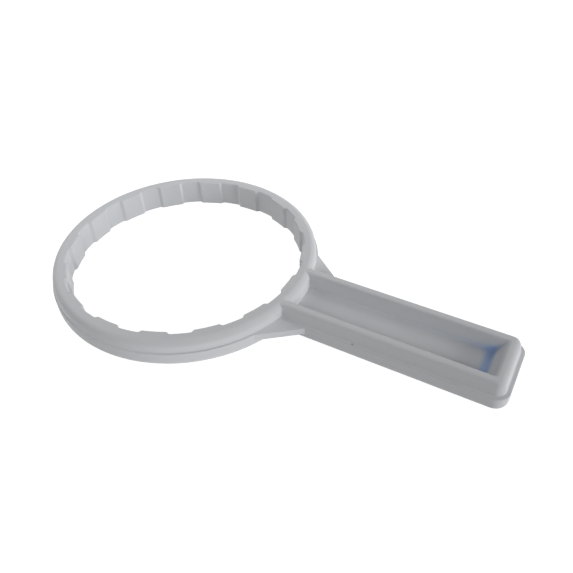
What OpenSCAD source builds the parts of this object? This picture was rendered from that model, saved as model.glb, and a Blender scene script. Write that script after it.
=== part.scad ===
// Filter housing wrench: a ring with gripping lugs and a channelled handle, moulded in one piece.
// The ring's axis is Z, the underside lies on z = 0 and the handle points along +X.

/* [Ring] */
// Radius to the faces of the gripping lugs
lug_r = 57.8; // [40:0.1:80]
// Depth of the recess between two lugs
recess_depth = 1.3; // [0.6:0.1:2]
// Number of lugs around the ring
lug_count = 16; // [8:1:24]
// Angle that each recess spans, in degrees
recess_angle = 10.5; // [5:0.5:12]
// Thickness of the ring's wall behind a recess
ring_wall = 6.9; // [5.5:0.1:10]
// Height of the ring and of the handle
height = 13.6; // [12.6:0.2:18]

/* [Edges] */
// Height of the ledge where the lower band ends
ledge_z = 7.6; // [6.5:0.1:8.4]
// Width of the ledge around the ring
ring_ledge = 0.9; // [0.4:0.1:1.5]
// Width of the ledge around the handle
handle_ledge = 1.75; // [0.8:0.05:2.4]
// Radius of the ring's rounded upper outer edge
top_round = 3; // [1:0.1:3.4]
// Radius of the rounded lower outer edge
bottom_round = 3; // [1:0.1:4]

/* [Handle] */
// Length of the handle beyond the ring
handle_length = 98.5; // [60:0.5:150]
// Width of the handle over its lower band
handle_w = 34.4; // [28:0.2:44]
// Plan radius of the two corners at the end of the handle
corner_r = 6; // [5.9:0.1:9]

// Thickness of the handle's side walls at the ledge
side_wall = 5.3; // [4.5:0.1:6.4]
// Lean of the walls' outer faces above the ledge, in degrees
wall_draft = 14; // [4:1:16]
// Radius of the rounded outer edge along the handle's crest
crest_round = 1.6; // [0.5:0.1:1.8]

/* [Channel] */
// Height of the channel's floor
floor_z = 5; // [4:0.1:6.5]
// Thickness of the floor between the channel and the hollow below
floor_t = 2.8; // [2:0.1:3.4]
// Radius of the fillet at the foot of the channel's sides
foot_round = 0.6; // [0.4:0.1:2]
// Radius of the rounded inner edge along the channel's sides
rim_round = 0.7; // [0.4:0.1:1]
// Thickness of the end wall from the ledge to the top of its inner round
end_wall = 4.4; // [3.8:0.1:6]
// Radius of the rounded inner edge at the channel's end
end_round = 2.1; // [0.5:0.1:3]
// Slope of the channel's end from upright, in degrees
end_draft = 30; // [5:1:40]

/* [Gussets] */
// Angle around the ring where the gusset's free edge starts, in degrees
gusset_angle = 28; // [22:0.5:36]
// Distance from the ring to where the free edge meets the handle
gusset_run = 10.2; // [6:0.2:30]
// Thickness of the gusset plates below the ledge
gusset_t = 3.8; // [2:0.1:4.4]

/* [Hidden] */
$fn = 96;
over = 1;
plastic = "#c5c7ca";
recess_r = lug_r + recess_depth;
band_r = recess_r + ring_wall;
upper_r = band_r - ring_ledge;
ring_mid_r = (recess_r + upper_r) / 2;
lug_pitch = 360 / lug_count;
handle_reach = band_r + handle_length;
handle_half = handle_w / 2;
corner_x = handle_reach - corner_r;
corner_y = handle_half - corner_r;
wall_lean = (height - ledge_z) * tan(wall_draft);
crest_reach = crest_round * tan(45 - wall_draft / 2);
channel_half = handle_half - handle_ledge - side_wall;
rim_z = height - rim_round;
end_rim = [handle_reach - handle_ledge - end_wall, height - end_round];
end_top = end_rim + end_round * [-cos(end_draft), sin(end_draft)];
end_foot_x = end_top[0] - (end_top[1] - floor_z) * tan(end_draft);
hollow_z = floor_z - floor_t;
side_mid = handle_half - handle_ledge - side_wall / 2;

// Quarter of a disc, turned by whole quarters about its centre
module quarter(centre, r, turn) {
    translate(centre) rotate(90 * turn) intersection() {
        circle(r);
        square(r);
    }
}

// Upright wall with its rounded upper edge, in section
module upper_wall(inner, reach) {
    translate([inner, 0]) square([reach - top_round - inner, height]);
    translate([reach - top_round, 0]) square([top_round, height - top_round]);
    quarter([reach - top_round, height - top_round], top_round, 0);
}

// Lower band with its rounded lower edge, in section
module lower_band(inner, reach) {
    translate([inner, 0]) square([reach - bottom_round - inner, ledge_z]);
    translate([reach - bottom_round, bottom_round]) square([bottom_round, ledge_z - bottom_round]);
    quarter([reach - bottom_round, bottom_round], bottom_round, 3);
}

// Ring's outer side in section: the band stands proud of the wall by the ledge
module ring_section() {
    lower_band(0, band_r);
    intersection() {
        upper_wall(0, upper_r);
        translate([0, bottom_round]) square([band_r, height]);
    }
}

// Handle's outer side in section: above the ledge the wall leans in to a rounded crest
module handle_section(inner, reach) {
    foot = reach - handle_ledge;
    centre = [foot - wall_lean - crest_reach, height - crest_round];
    edge = centre + crest_round * [cos(wall_draft), sin(wall_draft)];
    wide = 2 * crest_round;
    lower_band(inner, reach);
    polygon([[inner, bottom_round], [foot, bottom_round], [foot, ledge_z], edge, centre,
        [centre[0], height], [inner, height]]);
    translate(centre) intersection() {
        circle(crest_round);
        polygon([[0, 0], wide * [cos(wall_draft), sin(wall_draft)], [wide, wide], [0, wide]]);
    }
}

// Half of the channel in section: foot fillet, upright side and rounded rim
module channel_section() {
    foot = channel_half - foot_round;
    translate([0, floor_z]) square([foot, height + over - floor_z]);
    translate([foot, floor_z + foot_round]) square([foot_round, height + over - floor_z - foot_round]);
    quarter([foot, floor_z + foot_round], foot_round, 3);
    difference() {
        translate([channel_half, rim_z]) square([rim_round, rim_round + over]);
        quarter([channel_half + rim_round, rim_z], rim_round, 1);
    }
}

// Channel seen length-wise: floor, sloping end and rounded rim
module channel_length() {
    difference() {
        polygon([[0, floor_z], [end_foot_x, floor_z], end_top, end_rim,
            [end_rim[0], height + over], [0, height + over]]);
        quarter(end_rim, end_round, 1);
    }
}

// Carries an outline drawn in Y and Z along X
module along_x(from, to) {
    translate([from, 0, 0]) rotate([90, 0, 90]) linear_extrude(to - from) children();
}

// Carries an outline drawn in X and Z across the handle
module across(half) {
    translate([0, half, 0]) rotate([90, 0, 0]) linear_extrude(2 * half) children();
}

// Draws an outline and its mirror image
module both_sides() {
    for (flip = [0, 1]) mirror([flip, 0]) children();
}

module ring_body() {
    rotate_extrude() ring_section();
}

module bore() {
    half = recess_angle / 2;
    far = recess_r / cos(half) + over;
    translate([0, 0, -over]) cylinder(r = lug_r, h = height + 2 * over);
    intersection() {
        translate([0, 0, -over]) cylinder(r = recess_r, h = height + 2 * over);
        for (i = [0 : lug_count - 1]) rotate((i + 0.5) * lug_pitch) translate([0, 0, -2 * over])
            linear_extrude(height + 4 * over)
                polygon([[0, 0], far * [cos(half), -sin(half)], far * [cos(half), sin(half)]]);
    }
}

module handle_body() {
    along_x(recess_r, corner_x) both_sides() handle_section(0, handle_half);
    across(corner_y) handle_section(recess_r, handle_reach);
    for (turn = [0, -90]) translate([corner_x, turn == 0 ? corner_y : -corner_y, 0]) rotate(turn)
        rotate_extrude(angle = 90) handle_section(0, corner_r);
}

// The channel stops at the ring, whose wall and rounded edge stay whole between the handle's sides
module channel() {
    difference() {
        intersection() {
            along_x(0, handle_reach) both_sides() channel_section();
            across(handle_half) channel_length();
        }
        rotate_extrude() upper_wall(0, upper_r);
    }
}

module hollow_below() {
    translate([0, -channel_half, -over]) cube([end_foot_x, 2 * channel_half, hollow_z + over]);
}

module gussets() {
    inner_angle = asin(side_mid / ring_mid_r);
    plate = [
        band_r * [cos(gusset_angle), sin(gusset_angle)],
        ring_mid_r * [cos(gusset_angle), sin(gusset_angle)],
        ring_mid_r * [cos(inner_angle), sin(inner_angle)],
        [band_r + gusset_run, side_mid],
        [band_r + gusset_run, handle_half]];
    for (flip = [0, 1]) mirror([0, flip, 0]) translate([0, 0, ledge_z - gusset_t])
        linear_extrude(gusset_t) polygon(plate);
}

module wrench() {
    color(plastic) difference() {
        union() {
            ring_body();
            difference() {
                handle_body();
                hollow_below();
            }
            gussets();
        }
        channel();
        bore();
    }
}

wrench();
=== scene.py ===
# %% [markdown]
# # Filter housing wrench
# A one-piece plastic tool: a ring with gripping lugs turns the bowl of a water filter, and a straight
# handle with a channel along its top gives the lever. This lesson makes the moulding with soft edges,
# gives it a grey plastic, and sets up the camera, the floor and the light.
#
# The first step loads the measured solid. Its outer sizes could be typed in again, but they are read
# from the frame's box instead, so that the moulding and the solid can't drift apart.

# %% Load the frame
import math

import bmesh
import bpy
import numpy as np
from mathutils import Matrix, Vector


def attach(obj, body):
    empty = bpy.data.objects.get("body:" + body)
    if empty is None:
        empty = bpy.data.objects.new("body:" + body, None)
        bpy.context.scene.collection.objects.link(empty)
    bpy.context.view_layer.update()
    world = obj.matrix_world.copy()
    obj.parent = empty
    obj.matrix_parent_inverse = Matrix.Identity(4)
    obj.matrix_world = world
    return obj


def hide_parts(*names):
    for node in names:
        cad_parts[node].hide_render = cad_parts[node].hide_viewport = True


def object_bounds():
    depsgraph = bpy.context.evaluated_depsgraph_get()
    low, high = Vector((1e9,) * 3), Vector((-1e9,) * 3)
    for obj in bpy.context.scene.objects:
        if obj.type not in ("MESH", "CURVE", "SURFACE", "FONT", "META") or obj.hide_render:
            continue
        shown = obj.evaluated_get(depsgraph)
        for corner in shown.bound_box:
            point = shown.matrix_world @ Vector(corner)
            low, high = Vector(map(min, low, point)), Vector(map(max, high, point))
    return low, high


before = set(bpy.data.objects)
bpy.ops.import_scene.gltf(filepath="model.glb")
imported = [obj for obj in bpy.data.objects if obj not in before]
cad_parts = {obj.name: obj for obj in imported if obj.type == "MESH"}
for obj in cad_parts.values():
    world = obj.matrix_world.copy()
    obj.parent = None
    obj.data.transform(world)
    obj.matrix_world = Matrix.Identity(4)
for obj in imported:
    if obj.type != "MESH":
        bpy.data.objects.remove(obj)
cad_low, cad_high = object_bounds()
MM = 0.001
print("CAD nodes:", sorted(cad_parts))
print("CAD box in mm:", [round(v / MM, 2) for v in (*cad_low, *cad_high)])

# %% [markdown]
# ## Soft outlines
# A moulded part has no sharp edge: each corner of its section is a small arc. A Bevel modifier could
# round a finished mesh, but it gives all edges one width, and here a wide round on the crest stands
# beside a tiny one at the ledge. So the arcs are part of the sections: `rounded_line` draws a section
# from its corners and one radius for each. Beside every arc it adds a point on the straight part, so
# that smooth shading turns only along the arc and the flat faces stay flat.

# %% Soft outlines
# Distance in mm from the end of an arc to the extra point on the straight part
HOLD = 0.12
# Points along one arc
PLAIN_ARC = 7
FINE_ARC = 9


def unit(rows):
    """Each row divided by its own length."""
    return rows / np.linalg.norm(rows, axis=1, keepdims=True)


def rounded_line(corners, radii, steps):
    """Line through corners in mm, each inner one turned by an arc that touches both its sides.

    With h for half the corner's angle, the arc starts radius / tan(h) from the corner, and its centre
    lies on the bisector at radius / sin(h). It turns by 180 degrees less twice h."""
    corners = np.asarray(corners, float)
    middle = corners[1:-1]
    back = unit(corners[:-2] - middle)
    ahead = unit(corners[2:] - middle)
    radius = np.asarray(radii, float)
    half = 0.5 * np.arccos(np.sum(back * ahead, axis=1))
    reach = (radius / np.tan(half))[:, None]
    centre = middle + unit(back + ahead) * (radius / np.sin(half))[:, None]
    spoke = middle + back * reach - centre
    side = np.sign(back[:, 1] * ahead[:, 0] - back[:, 0] * ahead[:, 1])
    turn = (side * (np.pi - 2 * half))[:, None] * np.linspace(0, 1, steps)
    arc = np.stack([spoke[:, :1] * np.cos(turn) - spoke[:, 1:] * np.sin(turn),
                    spoke[:, :1] * np.sin(turn) + spoke[:, 1:] * np.cos(turn)], -1) + centre[:, None]
    first = middle + back * (reach + HOLD)
    last = middle + ahead * (reach + HOLD)
    bends = np.concatenate([first[:, None], arc, last[:, None]], 1).reshape(-1, 2)
    return np.concatenate([corners[:1], bends, corners[-1:]])


def rounded_loop(corners, radii, steps):
    """The same for a closed outline, whose first corner follows its last."""
    corners = np.asarray(corners, float)
    return rounded_line(np.concatenate([corners[-1:], corners, corners[:1]]), radii, steps)[1:-1]


UNIT_SQUARE = [(0, 0), (1, 0), (1, 1), (0, 1)]
print("points of a rounded square:", len(rounded_loop(UNIT_SQUARE, [0.2] * len(UNIT_SQUARE), PLAIN_ARC)))

# %% [markdown]
# ## Grids
# Every shell of this part is a grid: a section has its points in columns, and each place along its path
# is a row. The faces could be listed one by one, but slices of one table of point numbers give the four
# corners of all faces at once, whatever the shape.


# %% Grids
def grid_numbers(rows, columns):
    """Numbers of a grid's points, counted row by row."""
    return np.arange(rows * columns).reshape(rows, columns)


def grid_faces(rows, columns, closed_rows=False, closed_columns=False):
    """Four-sided faces of a grid: each joins a point to the next in its row, its column and both."""
    number = grid_numbers(rows, columns)
    number = np.concatenate([number, number[:1]]) if closed_rows else number
    number = np.concatenate([number, number[:, :1]], 1) if closed_columns else number
    return np.stack([number[:-1, :-1], number[1:, :-1], number[1:, 1:], number[:-1, 1:]], -1).reshape(-1, 4)


print("faces of a three by four grid:", len(grid_faces(3, 4)))

# %% [markdown]
# ## Ring
# The ring is what grips the bowl. Inside, sixteen lugs stand out from the wall. Outside, the lower band
# stands proud of the upper wall by a narrow ledge, and both outer edges are well rounded. Blocks could
# be added inside a plain turned ring, but they would meet its wall in hard lines. Instead one section
# is turned about the upright axis. A section through a lug and one through a recess have matching
# points, so the ring is a blend of the two that depends only on the angle.

# %% Ring sizes
HEIGHT = cad_high[2] / MM
BAND_RADIUS = -cad_low[0] / MM
LUG_RADIUS = 57.8
RECESS_DEPTH = 1.3
RECESS_RADIUS = LUG_RADIUS + RECESS_DEPTH
RING_LEDGE = 0.9
UPPER_RADIUS = BAND_RADIUS - RING_LEDGE
LEDGE_HEIGHT = 7.6
BAND_ROUND = 3.0
TOP_ROUND = 3.0
LEDGE_EDGE_ROUND = 0.3
LEDGE_FOOT_ROUND = 0.34
INNER_LOW_ROUND = 0.5
INNER_HIGH_ROUND = 0.6
# Angles of the lugs, in degrees
LUG_COUNT = 16
LUG_PITCH = 360 / LUG_COUNT
LUG_HALF_ANGLE = 6.0
LUG_FLANK_ANGLE = 1.7
# Within this angle of the handle's middle the ledge drops to this height, inside the handle's floor
SUNK_ANGLE = 12.0
SUNK_LEDGE = 4.0
print("ring radii in mm:", LUG_RADIUS, round(RECESS_RADIUS, 2), round(UPPER_RADIUS, 2), round(BAND_RADIUS, 2))

# %% Ring
# In degrees from a lug's middle, its face ends at the first and the recess beside it starts at the second
FACE_ANGLE = 4.6
RECESS_ANGLE = 7.2
# Share of the flank's angle, to each side of its middle, where the steps are close together
FLANK_SHARE = 0.6
FACE_STEPS = 8
RECESS_STEPS = 4
FLANK_STEPS = 11


def ring_section(inner, ledge):
    """Outline of the ring's wall as distance from the axis and height, for one inner radius and ledge."""
    corners = [(inner, 0), (BAND_RADIUS, 0), (BAND_RADIUS, ledge), (UPPER_RADIUS, ledge),
               (UPPER_RADIUS, HEIGHT), (inner, HEIGHT)]
    rounds = [INNER_LOW_ROUND, BAND_ROUND, LEDGE_EDGE_ROUND, LEDGE_FOOT_ROUND, TOP_ROUND, INNER_HIGH_ROUND]
    return rounded_loop(corners, rounds, FINE_ARC)


def ring_angles():
    """Angles in degrees, close together on the flanks of each lug and further apart between them."""
    flank = LUG_HALF_ANGLE + LUG_FLANK_ANGLE * np.linspace(-FLANK_SHARE, FLANK_SHARE, FLANK_STEPS)
    face = np.linspace(-FACE_ANGLE, FACE_ANGLE, FACE_STEPS)
    recess = np.linspace(RECESS_ANGLE, LUG_PITCH / 2, RECESS_STEPS)
    one = np.concatenate([-recess[::-1], -flank[::-1], face, flank, recess[:-1]])
    return (np.arange(LUG_COUNT)[:, None] * LUG_PITCH + one).ravel()


def ring_shell():
    """Points of the ring: the recess section moves towards the lug section by a smooth step of angle.

    The step s goes from 0 to 1 across a flank, and the share of the lug section is s * s * (3 - 2 * s)."""
    angle = ring_angles()
    from_lug = np.abs((angle + LUG_PITCH / 2) % LUG_PITCH - LUG_PITCH / 2)
    step = np.clip(0.5 + (LUG_HALF_ANGLE - from_lug) / LUG_FLANK_ANGLE, 0, 1)
    share = (step * step * (3 - 2 * step))[:, None, None]
    recess = ring_section(RECESS_RADIUS, LEDGE_HEIGHT)
    lug = ring_section(LUG_RADIUS, LEDGE_HEIGHT)
    drop = ring_section(LUG_RADIUS, SUNK_LEDGE) - lug
    from_handle = np.abs((angle + 180) % 360 - 180)
    in_channel = (from_handle < SUNK_ANGLE)[:, None, None]
    section = (1 - share) * recess + share * lug + in_channel * drop
    distance = section[..., 0]
    around = np.radians(angle)[:, None]
    points = np.stack([distance * np.cos(around), distance * np.sin(around), section[..., 1]], -1)
    faces = grid_faces(*points.shape[:2], closed_rows=True, closed_columns=True)
    return points.reshape(-1, 3), faces.tolist()


print("ring points and faces:", [len(part) for part in ring_shell()])

# %% [markdown]
# ## Handle
# The handle is a lever with a channel along its top, which saves plastic and gives the hand an edge to
# hold. A box could be hollowed out and its edges rounded, but the side walls have a flat crest and the
# end wall a rounder one with a sloping inner face. So a profile is carried along a path like a U: down
# the near side, round the end and back along the far side. It starts in the hollow below, goes round
# the band and the ledge, over the crest and down to the channel's floor. The side profile and the end
# profile have matching points, and the corners blend one into the other. Flat faces close the floor,
# the hollow and the start, which lies inside the ring.

# %% Handle sizes
HANDLE_REACH = cad_high[0] / MM
HANDLE_START = 60.0
HANDLE_HALF = 17.2
HANDLE_LEDGE = 1.75
HANDLE_CORNER = 6.0
WALL_LEAN = 1.3
CHANNEL_HALF = 10.1
CHANNEL_END = 152.2
CHANNEL_CORNER = 0.9
SIDE_SLOPE_RUN = 0.2
END_SLOPE = math.tan(math.radians(30))
FLOOR_HEIGHT = 5.0
HOLLOW_HEIGHT = 2.2
# Faces that would lie in one plane with the ring are set this far back, so that the union is clean
HAIR = 0.03
CREST_HEIGHT = HEIGHT - HAIR
FOOT_HEIGHT = HAIR
# Where the flat faces that close the floor and the hollow begin
FLAT_HALF = 7.0
FLAT_END = 149.0
HOLLOW_ROUND = 0.5
LIP_ROUND = 0.4
HANDLE_EDGE_ROUND = 0.4
SIDE_CREST_ROUND = 1.6
SIDE_RIM_ROUND = 1.1
END_CREST_ROUND = 2.8
END_RIM_ROUND = 2.1
CHANNEL_FOOT_ROUND = 0.25
print("channel in mm:", round(CHANNEL_END - BAND_RADIUS, 2), "long and", 2 * CHANNEL_HALF, "wide")

# %% Handle
SIDE_STEPS = 24
CORNER_STEPS = 14
END_STEPS = 6


def wall_profile(inner, outer, slope_run, flat, crest_round, rim_round):
    """Section of one wall as distance and height, from the hollow round the outside to the floor."""
    foot = outer - HANDLE_LEDGE
    corners = [(flat, HOLLOW_HEIGHT), (inner, HOLLOW_HEIGHT), (inner, FOOT_HEIGHT), (outer, FOOT_HEIGHT),
               (outer, LEDGE_HEIGHT), (foot, LEDGE_HEIGHT), (foot - WALL_LEAN, CREST_HEIGHT),
               (inner + slope_run, CREST_HEIGHT), (inner, FLOOR_HEIGHT), (flat, FLOOR_HEIGHT)]
    rounds = [HOLLOW_ROUND, LIP_ROUND, BAND_ROUND, HANDLE_EDGE_ROUND, LEDGE_EDGE_ROUND,
              crest_round, rim_round, CHANNEL_FOOT_ROUND]
    return rounded_line(corners, rounds, FINE_ARC)


def handle_shell():
    """Points of the handle: straight side, quarter turn about each point's own corner, half of the end.

    The plan radius of a point shrinks with its distance from the outer face. Round the corner, the share
    of the end profile is the squared sine of the turn. The far half mirrors the near one."""
    end_slope_run = END_SLOPE * (CREST_HEIGHT - FLOOR_HEIGHT)
    side = wall_profile(CHANNEL_HALF, HANDLE_HALF, SIDE_SLOPE_RUN, FLAT_HALF,
                        SIDE_CREST_ROUND, SIDE_RIM_ROUND)
    end = wall_profile(CHANNEL_END, HANDLE_REACH, end_slope_run, FLAT_END,
                       END_CREST_ROUND, END_RIM_ROUND)
    wide = side[:, 0]
    far = end[:, 0]
    radius = np.maximum(HANDLE_CORNER - (HANDLE_HALF - wide), CHANNEL_CORNER)
    along = np.linspace(0, 1, SIDE_STEPS)[:, None]
    turn = np.linspace(0, np.pi / 2, CORNER_STEPS)[1:, None]
    across = np.linspace(0, 1, END_STEPS)[1:, None]
    x = np.concatenate([HANDLE_START + along * (far - radius - HANDLE_START),
                        far - radius + radius * np.sin(turn), far + 0 * across])
    y = np.concatenate([0 * along - wide, radius - wide - radius * np.cos(turn),
                        (radius - wide) * (1 - across)])
    share = np.concatenate([0 * along, np.sin(turn) ** 2, 1 + 0 * across])
    z = (1 - share) * side[:, 1] + share * end[:, 1]
    near = np.stack([x, y, z], -1)
    points = np.concatenate([near, (near * [1, -1, 1])[-2::-1]])
    number = grid_numbers(*points.shape[:2])
    floor = number[:, -1].tolist()
    hollow = number[::-1, 0].tolist()
    start = number[0].tolist() + number[-1, ::-1].tolist()
    faces = grid_faces(*points.shape[:2]).tolist() + [floor, hollow, start]
    return points.reshape(-1, 3), faces


print("handle points and faces:", [len(part) for part in handle_shell()])

# %% [markdown]
# ## Gussets
# A flat plate fills each corner between ring and handle, level with the ledge, and stiffens the joint
# against the pull of the hand. A bevelled plate would do, but its edge has to stay soft right up to the
# ring. So the plate's outline is carried up an edge section: inset at the bottom, full in the middle,
# inset again at the top. Its hidden corners lie inside the walls of the ring and the handle.

# %% Gussets
GUSSET_ANGLE = math.radians(28)
GUSSET_RUN = 10.2
GUSSET_END = BAND_RADIUS + GUSSET_RUN
GUSSET_THICKNESS = 3.8
GUSSET_LOW = LEDGE_HEIGHT - GUSSET_THICKNESS
GUSSET_HIGH = LEDGE_HEIGHT - HAIR
GUSSET_OVERLAP = 2.0
GUSSET_CORNER = 0.8
GUSSET_INSET = 0.6
GUSSET_EDGE_ROUND = 0.35
PLATE_ARC = 5
IN_RING = (54.5, 28.0)
IN_HANDLE = (60.5, 13.0)


def gusset_shell(side):
    """Plate on the side given as 1 or -1: each outline point moves along its normal by the edge section."""
    on_ring = BAND_RADIUS * np.array([math.cos(GUSSET_ANGLE), math.sin(GUSSET_ANGLE)])
    on_handle = np.array([GUSSET_END, HANDLE_HALF])
    past = GUSSET_OVERLAP * (on_handle - on_ring) / np.linalg.norm(on_handle - on_ring)
    corners = [on_handle + past, on_ring - past, IN_RING, IN_HANDLE, (GUSSET_END, IN_HANDLE[1])]
    outline = rounded_loop(corners, [GUSSET_CORNER] * len(corners), PLATE_ARC)
    tangent = unit(np.roll(outline, -1, 0) - np.roll(outline, 1, 0))
    normal = np.stack([tangent[:, 1], -tangent[:, 0]], -1)
    edge = rounded_line([(-GUSSET_INSET, GUSSET_LOW), (0, GUSSET_LOW), (0, GUSSET_HIGH),
                         (-GUSSET_INSET, GUSSET_HIGH)], [GUSSET_EDGE_ROUND] * 2, PLAIN_ARC)
    plan = outline[:, None] + edge[:, 0, None] * normal[:, None]
    points = np.concatenate([plan, np.broadcast_to(edge[:, 1, None], plan.shape[:2] + (1,))], -1)
    points = points if side > 0 else (points * [1, -1, 1])[::-1]
    number = grid_numbers(*points.shape[:2])
    faces = grid_faces(*points.shape[:2], closed_rows=True).tolist()
    return points.reshape(-1, 3), faces + [number[::-1, 0].tolist(), number[:, -1].tolist()]


print("gusset points and faces:", [len(part) for part in gusset_shell(1)])

# %% [markdown]
# ## One moulding
# The real tool comes out of one mould, so it has one skin. The four shells could simply stand inside
# one another, but their hidden walls would then stay in the mesh. A Boolean union takes them away and
# leaves one closed skin. All faces are smooth, and only where two shells meet at a clear angle does
# the edge stay sharp.

# %% One moulding
SHARP_ANGLE = math.radians(36)
CUBIC_CM = 1e-6


def placed(name, data):
    """A new object at the origin, linked to the scene."""
    made = bpy.data.objects.new(name, data)
    bpy.context.scene.collection.objects.link(made)
    return made


def shell_object(name, points, faces):
    """A mesh object from points in mm."""
    mesh = bpy.data.meshes.new(name)
    mesh.from_pydata((points * MM).tolist(), [], faces)
    return placed(name, mesh)


def united(name, shells):
    """One mesh object that is the union of all shells."""
    objects = [shell_object(f"{name}_{index}", *shell) for index, shell in enumerate(shells)]
    for other in objects[1:]:
        joint = objects[0].modifiers.new("union", "BOOLEAN")
        joint.operation = "UNION"
        joint.solver = "EXACT"
        joint.object = other
    ready = objects[0].evaluated_get(bpy.context.evaluated_depsgraph_get())
    mesh = bpy.data.meshes.new_from_object(ready)
    mesh.name = name
    for item in objects:
        bpy.data.objects.remove(item)
    mesh.polygons.foreach_set("use_smooth", np.ones(len(mesh.polygons), bool))
    mesh.set_sharp_from_angle(angle=SHARP_ANGLE)
    return placed(name, mesh)


wrench = united("wrench_moulding", [ring_shell(), handle_shell(), gusset_shell(1), gusset_shell(-1)])
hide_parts("wrench")
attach(wrench, "root")
measure = bmesh.new()
measure.from_mesh(wrench.data)
print("faces:", len(measure.faces), "open edges:", sum(not edge.is_manifold for edge in measure.edges),
      "volume in cm3:", round(measure.calc_volume(signed=True) / CUBIC_CM, 2))
measure.free()

# %% [markdown]
# ## Shader helpers
# A finish is a tree of nodes. It could be wired up socket by socket, but it is easier to read as
# formulas. `Value` wraps one socket, and an operator such as `+` or `>` on it adds the matching Math
# node. Every other node comes from `Shader.node`.


# %% Shader helpers
class Value:
    """One output socket of a node tree, with arithmetic that adds Math nodes."""

    def __init__(self, shader, socket):
        self.shader = shader
        self.socket = socket

    def math(self, operation, first, second):
        """Adds a Math node and returns its result."""
        made = self.shader.node("ShaderNodeMath", {"operation": operation}, {0: first, 1: second})
        return made["Value"]

    def __add__(self, other):
        return self.math("ADD", self, other)

    def __sub__(self, other):
        return self.math("SUBTRACT", self, other)

    def __rsub__(self, other):
        return self.math("SUBTRACT", other, self)

    def __mul__(self, other):
        return self.math("MULTIPLY", self, other)

    def __truediv__(self, other):
        return self.math("DIVIDE", self, other)

    def __rtruediv__(self, other):
        return self.math("DIVIDE", other, self)

    def __pow__(self, other):
        return self.math("POWER", self, other)

    def __rpow__(self, other):
        return self.math("POWER", other, self)

    def __gt__(self, other):
        return self.math("GREATER_THAN", self, other)

    def __lt__(self, other):
        return self.math("LESS_THAN", self, other)

    __radd__ = __add__
    __rmul__ = __mul__


class Node:
    """One node, whose outputs are read by name as Values."""

    def __init__(self, shader, node):
        self.shader = shader
        self.node = node

    def __getitem__(self, output):
        return Value(self.shader, self.node.outputs[output])


class Shader:
    """A material's or world's node tree, emptied and ready for formulas."""

    def __init__(self, owner):
        owner.use_nodes = True
        self.tree = owner.node_tree
        self.tree.nodes.clear()

    def node(self, kind, settings=None, inputs=None):
        """Adds a node: its settings are set first, then each input gets a value or a link."""
        made = self.tree.nodes.new(kind)
        for name, value in (settings or {}).items():
            setattr(made, name, value)
        for key, value in (inputs or {}).items():
            if isinstance(value, Value):
                self.tree.links.new(value.socket, made.inputs[key])
            else:
                made.inputs[key].default_value = value
        return Node(self, made)


print("shader helpers:", Value.__name__, Node.__name__, Shader.__name__)

# %% [markdown]
# ## Painted shade and a mark of use
# Two marks are painted into the colour: a blue-grey painted shade that darkens the deep end of the
# channel, where its corner lies in shadow, and one dark fleck of use on the near ledge. They could be
# painted as an image, but a formula of place stays sharp at any size and needs no file. The painted shade
# has three arms that leave the channel's far corner: along the foot of the end slope, along the foot of
# the far side, and up the crease between them. Each arm fades with distance. The fleck is a small soft ball
# of colour.

# %% Painted shade and a mark of use
# Painted shade: the channel's deep end corner, where shadow falls, is darkened to blue-grey by these fades
# Distance in metres at which each fade has fallen to a half
PAINTED_SHADE_AT_END = 2.5 * MM
PAINTED_SHADE_AT_SIDE = 2.2 * MM
PAINTED_SHADE_ALONG_SIDE = 4.2 * MM
PAINTED_SHADE_AT_CREASE = 1.7 * MM
PAINTED_SHADE_UP_CREASE = 5.0 * MM
# How sharply a fade falls around that distance
STEEP = 2.5
STEEPEST = 3.0
GENTLE = 0.7
# Strongest share of the painted shade on two of its arms
END_STRENGTH = 0.88
CREASE_STRENGTH = 0.55
# The painted shade keeps inside the channel
PAINTED_SHADE_MARGIN = 1.0 * MM
PAINTED_SHADE_WIDTH = 21.5 * MM
PAINTED_SHADE_LENGTH = 7.0 * MM
FLECK = (98.6 * MM, -16.3 * MM, LEDGE_HEIGHT * MM)
FLECK_RADIUS = 0.7 * MM


def fade(squared, reach, power):
    """1 at no distance and a half at the reach: 1 / (1 + (squared distance / squared reach) ** power)."""
    return 1 / (1 + (squared / reach ** 2) ** power)


def painted_shade_share(shader, place):
    """Share of the painted shade in the channel's end corner, from three arms that join as 1 - (1 - a)(1 -
    b)(1 - c).
    """
    part = shader.node("ShaderNodeSeparateXYZ", None, {"Vector": place})
    from_end = part["X"] - CHANNEL_END * MM
    from_side = part["Y"] - CHANNEL_HALF * MM
    rise = part["Z"] - FLOOR_HEIGHT * MM
    off_slope = from_end - END_SLOPE * rise
    at_end = fade(from_end * from_end + rise * rise, PAINTED_SHADE_AT_END, STEEP)
    at_side = fade(from_side * from_side + rise * rise, PAINTED_SHADE_AT_SIDE, STEEP)
    at_crease = fade(off_slope * off_slope + from_side * from_side, PAINTED_SHADE_AT_CREASE, STEEP)
    end_arm = END_STRENGTH * at_end
    side_arm = at_side * fade(from_end * from_end, PAINTED_SHADE_ALONG_SIDE, GENTLE)
    crease_arm = CREASE_STRENGTH * at_crease * fade(rise * rise, PAINTED_SHADE_UP_CREASE, STEEPEST)
    between_sides = (from_side < PAINTED_SHADE_MARGIN) * (from_side > -PAINTED_SHADE_WIDTH)
    in_channel = between_sides * (rise > -PAINTED_SHADE_MARGIN) * (from_end < PAINTED_SHADE_LENGTH)
    return in_channel * (1 - (1 - end_arm) * (1 - side_arm) * (1 - crease_arm))


def fleck_share(shader, place):
    """1 at the fleck's middle, falling evenly to 0 at its radius."""
    away = shader.node("ShaderNodeVectorMath", {"operation": "DISTANCE"}, {0: place, 1: FLECK})["Value"]
    return shader.node("ShaderNodeClamp", None, {"Value": 1 - away / FLECK_RADIUS})["Result"]


print("fleck in mm:", [round(v / MM, 2) for v in FLECK])

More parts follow.
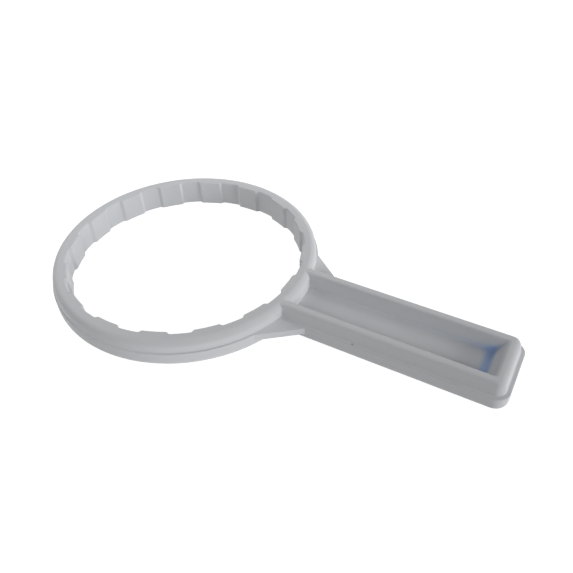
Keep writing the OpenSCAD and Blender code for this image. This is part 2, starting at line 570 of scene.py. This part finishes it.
# %% [markdown]
# ## Moulded plastic
# The real surface is a matt, pale grey plastic from a finely textured mould. Up close it has a faint
# grain, and its grey drifts a little where the melt flowed. One flat colour would look like paint, so
# a slow noise moves the grey and a fine noise moves the roughness and the bump. Light enters such a
# plastic a little way before it comes out again, which evens out the shading. A full scatter inside
# would be slow, and Diffuse Roughness gives the same even, chalky look.

# %% Moulded plastic
COOL_GREY = (0.585, 0.600, 0.625, 1.0)
WARM_GREY = (0.610, 0.618, 0.630, 1.0)
# Blue-grey of the painted shade in the channel's shadowed end corner
PAINTED_SHADE_COLOUR = (0.31, 0.42, 0.64, 1.0)
FLECK_COLOUR = (0.22, 0.22, 0.24, 1.0)
FLOW_NOISE = {"Scale": 28.0, "Detail": 3.0, "Roughness": 0.5}
GRAIN_NOISE = {"Scale": 1400.0, "Detail": 2.0, "Roughness": 0.6}
GRAIN_STRENGTH = 0.08
GRAIN_DEPTH = 0.2 * MM
ROUGHNESS_LOW = 0.52
ROUGHNESS_SPREAD = 0.12
GLOSS_LEVEL = 0.2
CHALKINESS = 1.0


def noise(shader, place, form):
    """A share between 0 and 1 that wanders with place, with the scale and detail of its form."""
    return shader.node("ShaderNodeTexNoise", {"noise_dimensions": "3D"}, {"Vector": place, **form})["Fac"]


def mixed(shader, share, first, second):
    """The first colour where the share is 0, and the second where it is 1."""
    made = shader.node("ShaderNodeMix", {"data_type": "RGBA"}, {"Factor": share, "A": first, "B": second})
    return made["Result"]


def grey_plastic():
    """Matt grey: slow noise shifts the grey by a few per cent, fine noise gives the mould's grain."""
    material = bpy.data.materials.new("grey_plastic")
    shader = Shader(material)
    place = shader.node("ShaderNodeTexCoord")["Object"]
    grain = noise(shader, place, GRAIN_NOISE)
    clean = mixed(shader, noise(shader, place, FLOW_NOISE), COOL_GREY, WARM_GREY)
    # Painted shade: the channel's shadowed end corner is mixed towards blue-grey
    with_painted_shade = mixed(shader, painted_shade_share(shader, place), clean, PAINTED_SHADE_COLOUR)
    marked = mixed(shader, fleck_share(shader, place), with_painted_shade, FLECK_COLOUR)
    bump = shader.node("ShaderNodeBump", None,
                       {"Height": grain, "Strength": GRAIN_STRENGTH, "Distance": GRAIN_DEPTH})
    surface = shader.node("ShaderNodeBsdfPrincipled", None, {
        "Base Color": marked,
        "Roughness": ROUGHNESS_LOW + ROUGHNESS_SPREAD * grain,
        "Specular IOR Level": GLOSS_LEVEL,
        "Diffuse Roughness": CHALKINESS,
        "Normal": bump["Normal"],
    })
    shader.node("ShaderNodeOutputMaterial", None, {"Surface": surface["BSDF"]})
    return material


plastic = grey_plastic()
wrench.data.materials.append(plastic)
print("nodes in the plastic:", len(plastic.node_tree.nodes))

# %% [markdown]
# ## Camera
# The photograph looks down on the tool from the near side of the handle's end, so close that the ring's
# far side is clearly smaller than its near side. A camera could be placed by eye, but the ring's ellipses
# and the handle's straight edges fix it far better, so its place, its turn and its focal length in
# pixels were found by matching them.

# %% Camera
IMAGE_SIDE = 573
FOCAL_PIXELS = 609.2
SENSOR_WIDTH = 36.0
CAMERA_PLACE = Vector((0.16448, -0.18064, 0.20210))
CAMERA_AZIMUTH = -59.355
CAMERA_ELEVATION = 42.348
CAMERA_ROLL = math.radians(-2.370)
NEAREST = 0.01
FURTHEST = 50.0


def direction(azimuth, elevation):
    """A vector of length 1 that leaves the origin at two angles in degrees."""
    around = math.radians(azimuth)
    above = math.radians(elevation)
    return Vector((math.cos(above) * math.cos(around), math.cos(above) * math.sin(around), math.sin(above)))


def camera_turn(azimuth, elevation, roll):
    """Columns are the camera's right, up and back: back points at the camera from the object."""
    back = direction(azimuth, elevation)
    level = direction(azimuth + 90, 0)
    upright = back.cross(level)
    right = math.cos(roll) * level + math.sin(roll) * upright
    up = back.cross(right)
    return Matrix((right, up, back)).transposed()


camera = placed("camera", bpy.data.cameras.new("camera"))
turned = camera_turn(CAMERA_AZIMUTH, CAMERA_ELEVATION, CAMERA_ROLL)
camera.matrix_world = Matrix.Translation(CAMERA_PLACE) @ turned.to_4x4()
camera.data.sensor_width = SENSOR_WIDTH
camera.data.lens = FOCAL_PIXELS / IMAGE_SIDE * SENSOR_WIDTH
camera.data.clip_start = NEAREST
camera.data.clip_end = FURTHEST
bpy.context.scene.camera = camera
print("lens in mm:", round(camera.data.lens, 2))

# %% [markdown]
# ## Floor
# The tool lies on a pure white ground. Strong light on a white floor could give that, but the same
# light would wash out the tool. So the rays that show the floor meet a white glow with a little matt
# grey added, which still takes a faint shadow. All other light meets a plain matt floor, and the tool's
# lower faces get a natural bounce from it.

# %% Floor
WHITE = (1.0, 1.0, 1.0, 1.0)
FLOOR_GLOW = 0.955
FLOOR_SHADED = 0.25
FLOOR_MATT = 0.70
FLOOR_HALF = 4.0
# The floor lies a hair below the underside of the ring
FLOOR_DROP = 0.05 * MM


def seen_rays(shader):
    """1 for the rays that show a surface: from the camera, from gloss and through clear matter."""
    path = shader.node("ShaderNodeLightPath")
    return path["Is Camera Ray"] + path["Is Glossy Ray"] + path["Is Transmission Ray"]


def matt_grey(shader, level):
    """An even matt grey of one brightness."""
    return shader.node("ShaderNodeBsdfDiffuse", None, {"Color": (level, level, level, 1.0)})["BSDF"]


def white_floor():
    """Matt grey for bounced light; seen rays meet a white glow plus a darker matt grey."""
    material = bpy.data.materials.new("white_floor")
    shader = Shader(material)
    glow = shader.node("ShaderNodeEmission", None, {"Color": WHITE, "Strength": FLOOR_GLOW})
    shaded = matt_grey(shader, FLOOR_SHADED)
    shown = shader.node("ShaderNodeAddShader", None, {0: glow["Emission"], 1: shaded})
    mix = shader.node("ShaderNodeMixShader", None,
                      {"Fac": seen_rays(shader), 1: matt_grey(shader, FLOOR_MATT), 2: shown["Shader"]})
    shader.node("ShaderNodeOutputMaterial", None, {"Surface": mix["Shader"]})
    return material


def floor_sheet():
    """A square sheet of four corners."""
    mesh = bpy.data.meshes.new("floor")
    corners = FLOOR_HALF * np.array([[-1, -1, 0], [1, -1, 0], [1, 1, 0], [-1, 1, 0]]) - [0, 0, FLOOR_DROP]
    mesh.from_pydata(corners.tolist(), [], [[0, 1, 2, 3]])
    mesh.materials.append(white_floor())
    sheet = placed("floor", mesh)
    return sheet


print("floor in m:", list(floor_sheet().dimensions))

# %% [markdown]
# ## Lamps
# The photograph's light is soft. The faces that look along the handle are the brightest, and the top
# stays a shade darker, so the strongest lamp is low beyond the handle's end. One lamp would leave the
# rest too dark. A second far lamp fills the near side, and three small ones close to the ring do the
# work of white cards around it: so close, they brighten the ring and hardly reach the handle's end.

# %% Lamps
FAR = 2.0
CLOSE = 0.3
LAMP_SHARE = 0.5


def soft_lamp(name, azimuth, elevation, distance, power):
    """A square lamp at two angles in degrees, aimed at the ring's middle and half as wide as it is far."""
    light = bpy.data.lights.new(name, "AREA")
    light.shape = "SQUARE"
    light.size = LAMP_SHARE * distance
    light.energy = power
    lamp = placed(name, light)
    towards = direction(azimuth, elevation)
    facing = (-towards).to_track_quat("-Z", "Y").to_matrix().to_4x4()
    lamp.matrix_world = Matrix.Translation(distance * towards) @ facing
    return lamp


lamps = [
    soft_lamp("end_lamp", azimuth=0, elevation=14, distance=FAR, power=25.6),
    soft_lamp("front_lamp", azimuth=-60, elevation=38, distance=FAR, power=12.7),
    soft_lamp("left_lamp", azimuth=-150, elevation=40, distance=CLOSE, power=0.18),
    soft_lamp("back_lamp", azimuth=60, elevation=45, distance=CLOSE, power=0.25),
    soft_lamp("low_lamp", azimuth=180, elevation=20, distance=CLOSE, power=0.20),
]
print("lamps:", [(lamp.name, round(lamp.data.energy, 2)) for lamp in lamps])

# %% [markdown]
# ## White surround
# Beyond the floor everything is white too. A bright world would do that, but it would light the tool
# from all sides and flatten it. So the world is white only to the rays that show it, and dark to all
# others. The Standard view keeps white at full white.

# %% White surround
world = bpy.data.worlds.new("studio")
bpy.context.scene.world = world
studio = Shader(world)
dark = studio.node("ShaderNodeBackground", None, {"Strength": 0.0})
white = studio.node("ShaderNodeBackground", None, {"Color": WHITE, "Strength": 1.0})
sky = studio.node("ShaderNodeMixShader", None,
                  {"Fac": seen_rays(studio), 1: dark["Background"], 2: white["Background"]})
studio.node("ShaderNodeOutputWorld", None, {"Surface": sky["Shader"]})
bpy.context.scene.view_settings.view_transform = "Standard"
print("nodes in the surround:", len(world.node_tree.nodes))
